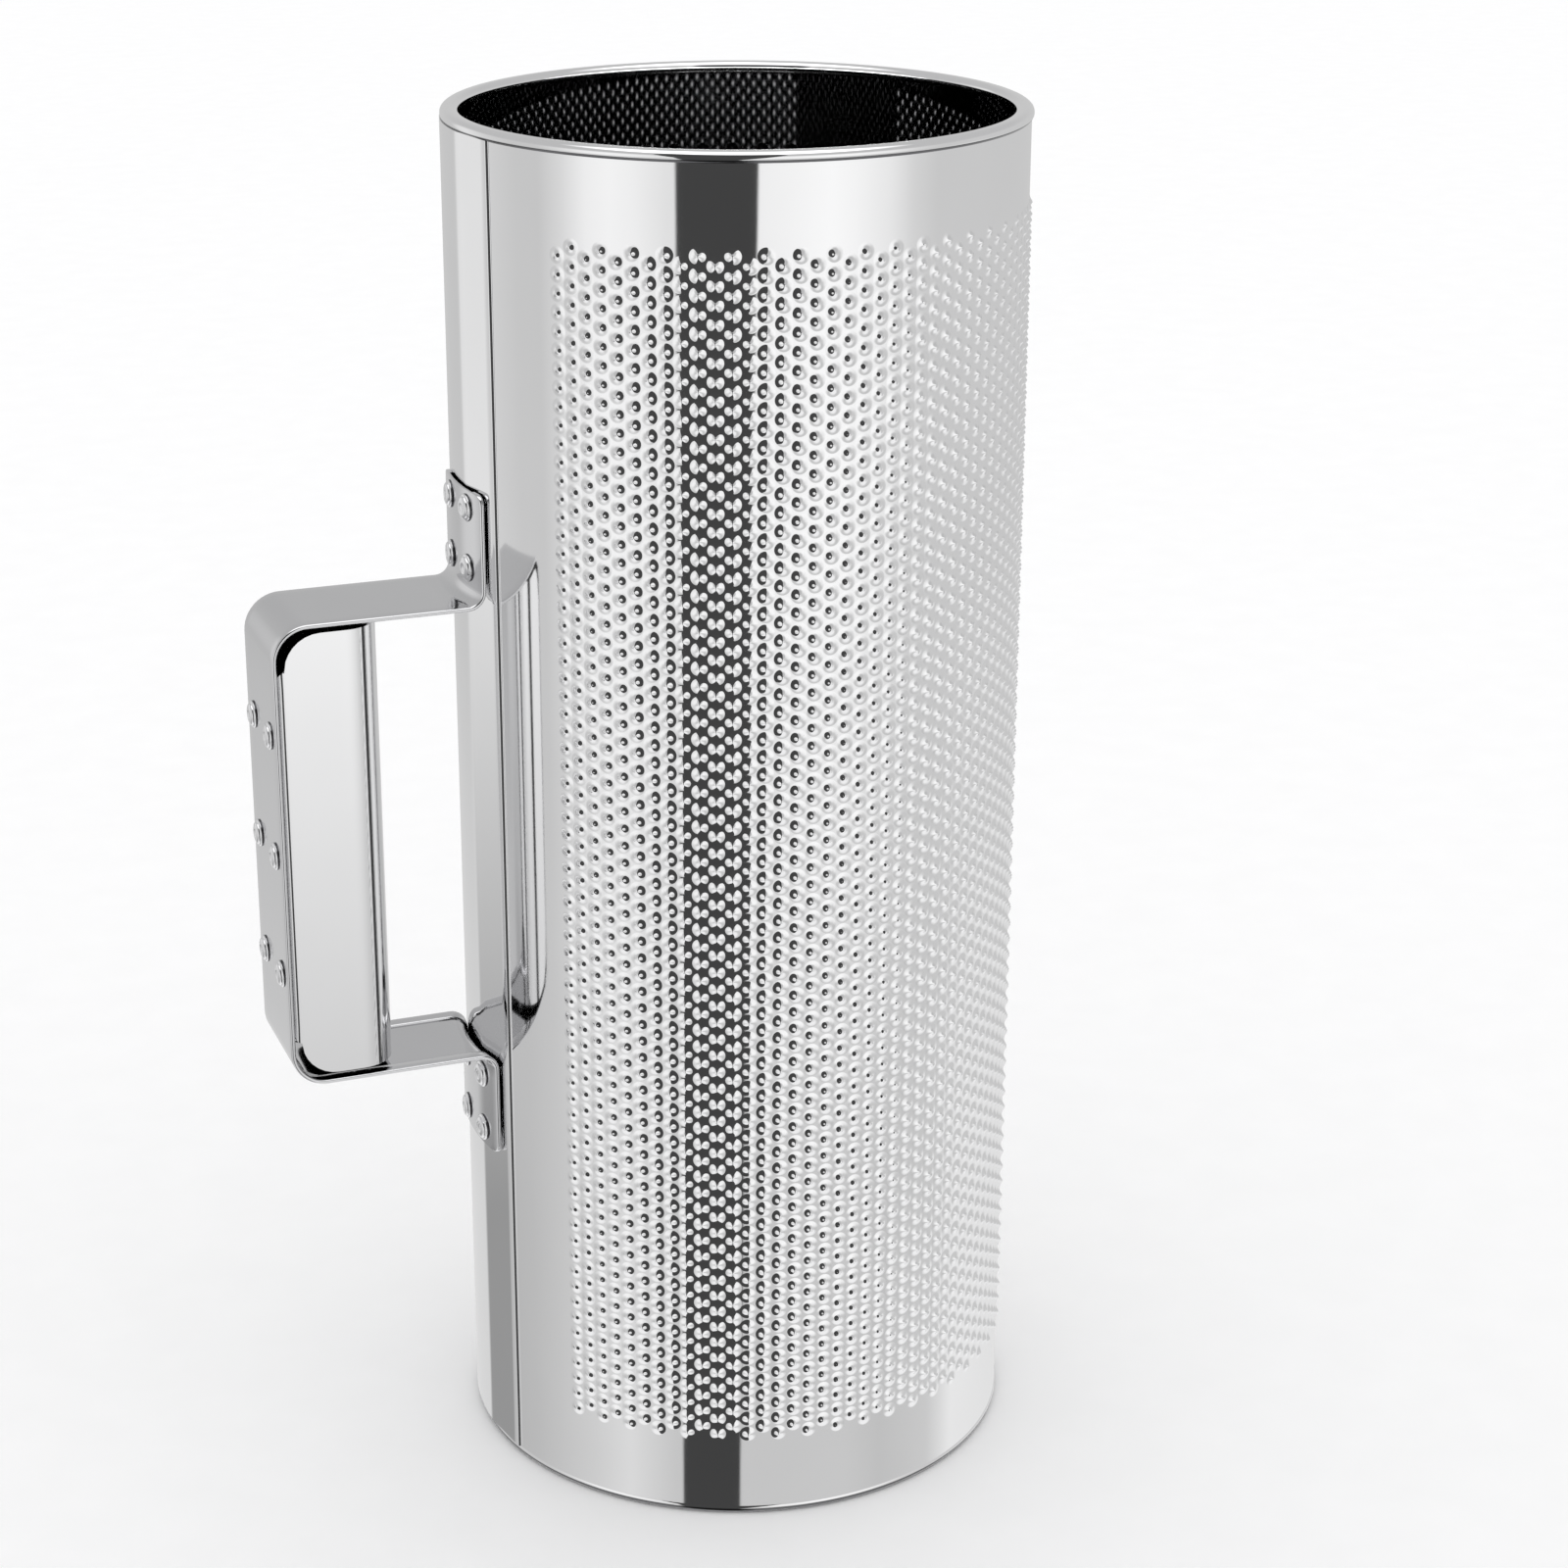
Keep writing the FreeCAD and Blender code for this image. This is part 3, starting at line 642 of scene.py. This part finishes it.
def make_strap():
    """Strip bent to a C, its outer face along the path and its depth towards the tube."""
    section = strap_section()
    upper = half_strap_path(ARM_TOP, FOOT_TOP, 1)
    lower = half_strap_path(ARM_BASE, FOOT_BASE, -1)
    run = [(STRAP_OUT, height, -1.0, 0.0)
           for height in np.linspace(ARM_TOP - CORNER, ARM_BASE + CORNER, RUN_STEPS + 1)[1:-1]]
    path = np.array(upper + run + lower[::-1])
    from_end = np.minimum(FOOT_TOP - path[:, 1], path[:, 1] - FOOT_BASE)
    short = np.clip(FOOT_CORNER - from_end, 0, FOOT_CORNER)
    half = STRAP_HALF - (FOOT_CORNER - np.sqrt(FOOT_CORNER**2 - short**2))
    side = section[None, :, 0] * (half / STRAP_HALF)[:, None]
    depth = section[None, :, 1]
    reach = path[:, 0, None] + path[:, 2, None] * depth
    height = path[:, 1, None] + path[:, 3, None] * depth
    saddle = np.clip((FLAT_FROM - path[:, 0]) / FLAT_FADE, 0, 1)[:, None]
    x = -np.sqrt(reach**2 - saddle * side**2)
    points = np.stack([x, side, height], axis=-1)
    index = np.arange(points.shape[0] * points.shape[1]).reshape(points.shape[:2])
    faces = [grid_faces(index, close_v=True, flip=True), index[:1, ::-1], index[-1:]]
    mesh = new_mesh("handle_strap_dressed", points.reshape(-1, 3), faces, sharp=38)
    new_piece("handle_strap_dressed", mesh, STRAP_STEEL, ("handle_strap",))


# Grip sleeve

LIP_FACE = -106.97
GRIP_DEPTH = 23.0
GRIP_HALF = 13.0
GRIP_SHEET = 0.6
GRIP_EDGE = 1.5
GRIP_NOSE = 8.0
GRIP_TOP = 202.5
GRIP_BASE = 102.0
LIP = 10.0
LIP_TRIM = 10.0
PANEL_CORNER = 8.0
# Shares of a side panel where the mesh crosses it, closer together at the rounded corners
PANEL_CUTS = np.array([0.03, 0.08, 0.15, 0.24, 0.35, 0.47, 0.6, 0.72, 0.86])
# Steps of the mesh up the grip, over a lip, over its edge and round the nose
GRIP_ROWS = 24
LIP_STEPS = 5
EDGE_STEPS = 6
NOSE_STEPS = 12


def grip_path():
    """Half of the folded section as (x, y, normal x, normal y, shortening of the ends)."""
    rows = []
    edge_x, edge_y = LIP_FACE + GRIP_EDGE, GRIP_HALF - GRIP_EDGE
    for y in np.linspace(GRIP_HALF - LIP, edge_y, LIP_STEPS + 1)[:-1]:
        rows.append((LIP_FACE, y, -1.0, 0.0, LIP_TRIM))
    for angle in np.radians(np.linspace(180, 90, EDGE_STEPS + 1)):
        x, y = edge_x + GRIP_EDGE * math.cos(angle), edge_y + GRIP_EDGE * math.sin(angle)
        share = math.sin(angle)
        rows.append((x, y, math.cos(angle), math.sin(angle), LIP_TRIM + (PANEL_CORNER - LIP_TRIM) * share))
    nose_x, nose_y = LIP_FACE + GRIP_DEPTH - GRIP_NOSE, GRIP_HALF - GRIP_NOSE
    for x in edge_x + (nose_x - edge_x) * PANEL_CUTS:
        near = max(PANEL_CORNER - (x - edge_x), 0.0)
        rows.append((x, GRIP_HALF, 0.0, 1.0, PANEL_CORNER - math.sqrt(PANEL_CORNER**2 - near**2)))
    for angle in np.radians(np.linspace(90, 0, NOSE_STEPS + 1)):
        rows.append((nose_x + GRIP_NOSE * math.cos(angle), nose_y + GRIP_NOSE * math.sin(angle),
                     math.cos(angle), math.sin(angle), 0.0))
    rows.append((nose_x + GRIP_NOSE, nose_y / 2, 1.0, 0.0, 0.0))
    return rows


def make_grip():
    """Sheet folded round the inner face of the strap, open along its lips."""
    half = grip_path()
    mirrored = [(x, -y, nx, -ny, trim) for x, y, nx, ny, trim in reversed(half)]
    path = np.array(half + mirrored)
    steps = np.linspace(0, 1, GRIP_ROWS + 1)
    low, high = GRIP_BASE + path[:, 4], GRIP_TOP - path[:, 4]
    height = low[:, None] + (high - low)[:, None] * steps[None, :]
    sides = []
    for depth in (0.0, GRIP_SHEET):
        x = path[:, 0] - path[:, 2] * depth
        y = path[:, 1] - path[:, 3] * depth
        sides.append(np.stack([np.repeat(x[:, None], len(steps), 1),
                               np.repeat(y[:, None], len(steps), 1), height], axis=-1))
    count = len(path) * len(steps)
    outer = np.arange(count).reshape(len(path), len(steps))
    inner = outer + count
    faces = [grid_faces(outer, flip=True), grid_faces(inner)]
    for row, flip in ((0, True), (-1, False)):
        faces.append(grid_faces(np.stack([outer[:, row], inner[:, row]]), flip=flip))
    for row, flip in ((0, False), (-1, True)):
        faces.append(grid_faces(np.stack([outer[row], inner[row]]), flip=flip))
    points = np.concatenate([side.reshape(-1, 3) for side in sides])
    mesh = new_mesh("grip_dressed", points, faces, sharp=38)
    new_piece("grip_dressed", mesh, GRIP_STEEL, ("grip",))


# Rivets

RIVET_POINTS = 40
RIVET_SHANK = 1.6
# Outlines of head and tail as (radius, height), and the rings painted dark as shade in the seam where the cap
# meets its rim
RIVET_HEAD = ((0.0, 1.04), (0.72, 1.05), (0.90, 1.09), (1.04, 1.18), (1.35, 1.2), (1.9, 1.13), (2.28, 0.98),
              (2.42, 0.84), (2.47, 0.62), (2.7, 0.56), (2.9, 0.45), (2.99, 0.28), (3.0, 0.1), (2.94, 0.0))
PAINTED_SHADE_RINGS = (10, 11, 12)
RIVET_TAIL = ((RIVET_SHANK, 0.0), (2.42, 0.0), (2.5, -0.12), (2.44, -0.42), (2.0, -0.7), (1.2, -0.8),
              (0.0, -0.82))
RIVET_LEAN = 0.012
RIVET_SEED = 11
# Places from the end and the middle of a foot, and from the middle of the grip
FOOT_RIVET_ENDS = (3.9, 17.1)
FOOT_RIVET_SIDE = 6.0
GRIP_RIVET_SIDE = 7.5
GRIP_RIVET_MIDDLE = 152.0
GRIP_RIVET_STEP = 27.3
# Thickness between head and tail, and how far a head is pressed in
FOOT_STACK = 2.25
GRIP_STACK = 1.65
FOOT_PRESSED = 0.03
GRIP_PRESSED = 0.02


def rivet_template(stack):
    """Points and faces of one rivet along Z, the underside of its head at height 0."""
    tail = [(radius, height - stack) for radius, height in RIVET_TAIL]
    profile = np.array([*RIVET_HEAD, (RIVET_SHANK, 0.0), *tail])
    turn = full_turn(RIVET_POINTS)
    rings = profile[1:-1]
    points = np.stack([rings[:, 0, None] * np.cos(turn), rings[:, 0, None] * np.sin(turn),
                       np.broadcast_to(rings[:, 1, None], (len(rings), RIVET_POINTS))], axis=-1)
    points = points.reshape(-1, 3)
    points = np.vstack([points, [0, 0, profile[0, 1]], [0, 0, profile[-1, 1]]])
    index = np.arange(len(rings) * RIVET_POINTS).reshape(len(rings), RIVET_POINTS)
    top, base = len(points) - 2, len(points) - 1
    after = np.roll(index, -1, axis=1)
    fan_top = np.stack([index[0], after[0], np.full(RIVET_POINTS, top)], axis=-1)
    fan_base = np.stack([after[-1], index[-1], np.full(RIVET_POINTS, base)], axis=-1)
    return points, grid_faces(index, close_v=True), np.vstack([fan_top, fan_base])


def rivet_group(name, node, places, stack):
    """All rivets of one kind, each turned and leaning a little differently."""
    points, quads, fans = rivet_template(stack)
    random = np.random.default_rng(RIVET_SEED)
    every, quad_faces, fan_faces = [], [], []
    for number, (spot, out) in enumerate(places):
        lean = random.normal(0, RIVET_LEAN, 2)
        out = Vector(out).normalized()
        side = Vector((0, 0, 1)).cross(out).normalized()
        up = out.cross(side)
        axis = (out + side * lean[0] + up * lean[1]).normalized()
        side = up.cross(axis).normalized()
        up = axis.cross(side)
        basis = np.array([side, up, axis])
        every.append(points @ basis + np.array(spot))
        quad_faces.append(quads + number * len(points))
        fan_faces.append(fans + number * len(points))
    faces = [np.concatenate(quad_faces), np.concatenate(fan_faces)]
    mesh = new_mesh(name, np.concatenate(every), faces, sharp=42)
    new_piece(name, mesh, RIVET_STEEL, (node,))
    # The seam rings of each head get the darker steel as painted shade
    painted_shade_faces = np.tile(np.isin(np.arange(len(quads)) // RIVET_POINTS, PAINTED_SHADE_RINGS), len(places))
    add_material(mesh, SEAM_PAINTED_SHADE_STEEL, np.concatenate([painted_shade_faces, np.zeros(len(faces[1]), bool)]))


def make_rivets():
    """Four rivets in each foot, from the top down, and three rows of two through the grip."""
    near, far = FOOT_RIVET_ENDS
    swing = FOOT_RIVET_SIDE / FOOT_FACE
    radius = FOOT_FACE - FOOT_PRESSED
    places = []
    for height in (FOOT_TOP - near, FOOT_TOP - far, FOOT_BASE + far, FOOT_BASE + near):
        for turn in (-swing, swing):
            out = (-math.cos(turn), -math.sin(turn), 0.0)
            places.append(((out[0] * radius, out[1] * radius, height), out))
    rivet_group("foot_rivets_dressed", "foot_rivets", places, FOOT_STACK)
    x = -STRAP_OUT + GRIP_PRESSED
    places = [((x, side * GRIP_RIVET_SIDE, GRIP_RIVET_MIDDLE + row * GRIP_RIVET_STEP), (-1.0, 0.0, 0.0))
              for row in (1, 0, -1) for side in (-1, 1)]
    rivet_group("grip_rivets_dressed", "grip_rivets", places, GRIP_STACK)


# Studio

CAMERA_ANGLE = -110.5
CAMERA_REACH = 709.3
CAMERA_HEIGHT = 413.7
CAMERA_DOWN = 20.26
FOCAL_PIXELS = 3408.4
PICTURE = 1600
SENSOR = 36.0
AXIS_PIXEL = 752.0
CLIP_START = 0.01

# Brightness of the studio seen in the metal, by angle from the camera round the object: as seen
# by the upper part of the tube, and by its lower part, which looks further down. A level is how
# steeply a direction rises, from -1 for straight down to 1 for straight up
HIGH_PANELS = ((-180, 0.60), (-141, 0.60), (-134, 0.80), (-126, 0.84), (-110, 0.69), (-95, 0.635),
               (-82.5, 0.63), (-71, 0.77), (-60, 0.96), (-50, 1.01), (-40, 0.97), (-26.5, 0.84),
               (8, 0.97), (36.5, 1.07), (46, 1.02), (61, 0.895), (72, 0.72), (83.5, 0.64),
               (108, 0.64), (180, 0.60))
LOW_PANELS = ((-180, 0.75), (-139, 0.72), (-132, 0.33), (-121, 0.33), (-113, 0.52), (-98.5, 0.55),
              (-64, 0.69), (-47, 0.785), (-26.5, 0.63), (2, 0.63), (48, 0.635), (65, 0.585),
              (92, 0.655), (108.5, 0.89), (180, 0.75))
PANEL_LEVELS = (-0.46, -0.28)
# The dark gap between the panels: its left edge, and its right edge at two levels
GAP_LEFT = -23.3
GAP_RIGHT = ((-0.53, 1.4), (-0.10, 9.4))
GAP_TOP = (0.75, 0.88)
GAP_SOFT = 1.0
# How much wider the gap is high up and low down
GAP_SPREAD = 12.0
SPREAD_HIGH = (-0.1, 0.6)
SPREAD_LOW = (-0.95, -0.6)
GAP_SHADE = 0.058
TABLE_LEVELS = (-0.74, -0.56)
TABLE_SHADE = 0.97
CEILING_LEVELS = (0.15, 0.4)
CEILING_SHADE = 0.55
ZENITH_LEVELS = (0.8, 0.92)
ZENITH_SHADE = 1.8
BLUE_SHARE = 1.005

# Discs across the tube: name, radius, height, brightness and whether it faces up
INSIDE_DISCS = (("inside_shade", 57.0, 0.3, 0.05, True), ("inside_glow", 40.0, 305.3, 8.0, False))
DISC_POINTS = 48
FLOOR_HALF = 6000.0
FLOOR_GRAIN = 60.0
FLOOR_SHADE = 0.985


def make_camera():
    """Camera of the picture. Its small shift puts the tube's axis left of the middle."""
    data = bpy.data.cameras.new("camera")
    camera = new_object("camera", data)
    angle, down = math.radians(CAMERA_ANGLE), math.radians(CAMERA_DOWN)
    camera.location = Vector((CAMERA_REACH * math.cos(angle), CAMERA_REACH * math.sin(angle),
                              CAMERA_HEIGHT)) * MM
    look = Vector((-math.cos(angle) * math.cos(down), -math.sin(angle) * math.cos(down), -math.sin(down)))
    camera.rotation_euler = look.to_track_quat("-Z", "Y").to_euler()
    data.sensor_width = SENSOR
    data.lens = FOCAL_PIXELS / PICTURE * SENSOR
    data.shift_x = (PICTURE / 2 - AXIS_PIXEL) / PICTURE
    data.clip_start = CLIP_START
    bpy.context.scene.camera = camera


def make_world():
    """White room, with soft lit panels and one dark gap that show only in the metal."""
    world = bpy.data.worlds.new("studio")
    bpy.context.scene.world = world
    world.use_nodes = True
    nodes = Nodes(world.node_tree)
    maths = nodes.maths

    def over(source, low, high, first=0.0, last=1.0):
        """Value that runs from first to last while the source runs from low to high."""
        return nodes.add("ShaderNodeMapRange", {"Value": source, "From Min": low, "From Max": high,
                                                "To Min": first, "To Max": last}).outputs[0]

    def mixed(share, one, other):
        """Colour that goes from one to the other with the share."""
        return nodes.add("ShaderNodeMix", {0: share, 6: one, 7: other}, data_type="RGBA").outputs[2]

    def grey(shade):
        return (shade, shade, shade * BLUE_SHARE, 1.0)

    def around(shades):
        """Brightness by the angle round the object."""
        return nodes.ramp(share, [((place + 180) / 360, shade) for place, shade in shades])

    way = nodes.add("ShaderNodeTexCoord").outputs["Generated"]
    turned_way = nodes.add("ShaderNodeVectorRotate", {"Vector": way, "Angle": -math.radians(CAMERA_ANGLE)},
                           rotation_type="Z_AXIS").outputs[0]
    parts = nodes.add("ShaderNodeSeparateXYZ", {"Vector": turned_way})
    level = parts.outputs["Z"]
    angle = maths("MULTIPLY", maths("ARCTAN2", parts.outputs["Y"], parts.outputs["X"]), 180 / math.pi)
    share = over(angle, -180, 180)
    panels = mixed(over(level, *PANEL_LEVELS), around(LOW_PANELS), around(HIGH_PANELS))
    panels = mixed(over(level, *TABLE_LEVELS), grey(TABLE_SHADE), panels)
    ceiling = mixed(over(level, *CEILING_LEVELS), panels, grey(CEILING_SHADE))
    (low_level, low_right), (high_level, high_right) = GAP_RIGHT
    right = over(level, low_level, high_level, low_right, high_right)
    spread = maths("ADD", over(level, *SPREAD_HIGH, 0.0, GAP_SPREAD),
                   over(level, *SPREAD_LOW, GAP_SPREAD, 0.0))
    into_left = maths("SUBTRACT", angle, maths("SUBTRACT", GAP_LEFT, spread))
    past_right = maths("SUBTRACT", maths("SUBTRACT", angle, right), spread)
    gap = maths("MULTIPLY", over(into_left, -GAP_SOFT / 2, GAP_SOFT / 2),
                over(past_right, -GAP_SOFT / 2, GAP_SOFT / 2, 1.0, 0.0))
    gap = maths("MULTIPLY", gap, over(level, *GAP_TOP, 1.0, 0.0))
    room = mixed(gap, ceiling, grey(GAP_SHADE))
    room = mixed(over(level, *ZENITH_LEVELS), room, grey(ZENITH_SHADE))
    seen = nodes.add("ShaderNodeLightPath").outputs["Is Glossy Ray"]
    light = nodes.add("ShaderNodeBackground", {"Color": mixed(seen, grey(1.0), room), "Strength": 1.0})
    nodes.add("ShaderNodeOutputWorld", {"Surface": light.outputs[0]})


def make_inside_light():
    """The dim base and the bright mouth of the tube, which show only in the metal inside it."""
    for name, radius, height, shade, up in INSIDE_DISCS:
        material, nodes = new_material(name)
        light = nodes.add("ShaderNodeEmission", {"Color": (1.0, 1.0, 1.0, 1.0), "Strength": shade}).outputs[0]
        clear = nodes.add("ShaderNodeBsdfTransparent").outputs[0]
        behind = nodes.add("ShaderNodeNewGeometry").outputs["Backfacing"]
        shader = nodes.add("ShaderNodeMixShader", {0: behind, 1: light, 2: clear}).outputs[0]
        nodes.add("ShaderNodeOutputMaterial", {"Surface": shader})
        turn = full_turn(DISC_POINTS)
        rim = np.stack([radius * np.cos(turn), radius * np.sin(turn), np.full(DISC_POINTS, height)], axis=-1)
        mesh = new_mesh(name, rim, [np.arange(DISC_POINTS)[None, ::1 if up else -1]])
        mesh.materials.append(material)
        disc = new_object(name, mesh)
        for ray in ("camera", "diffuse", "transmission", "volume_scatter", "shadow"):
            setattr(disc, "visible_" + ray, False)


def make_floor():
    """Pale floor that takes the soft shadow of the object. The metal shows the room instead of it."""
    material, nodes = new_material("floor_paint")
    place = nodes.add("ShaderNodeTexCoord").outputs["Object"]
    grain = nodes.add("ShaderNodeTexNoise", {"Vector": place, "Scale": FLOOR_GRAIN, "Detail": 2.0})
    shade = nodes.ramp(grain.outputs["Fac"], [(0.3, FLOOR_SHADE), (0.7, 1.0)])
    shader = nodes.add("ShaderNodeBsdfDiffuse", {"Color": shade})
    nodes.add("ShaderNodeOutputMaterial", {"Surface": shader.outputs[0]})
    corners = [(-1, -1, 0), (1, -1, 0), (1, 1, 0), (-1, 1, 0)]
    mesh = new_mesh("floor", np.array(corners) * FLOOR_HALF, [np.array([[0, 1, 2, 3]])])
    mesh.materials.append(material)
    floor = new_object("floor", mesh)
    floor.visible_glossy = False


make_sheet()
make_hems()
make_lap()
make_strap()
make_grip()
make_rivets()
make_camera()
make_world()
make_inside_light()
make_floor()
bpy.context.scene.view_settings.view_transform = "Standard"

bpy.context.view_layer.update()
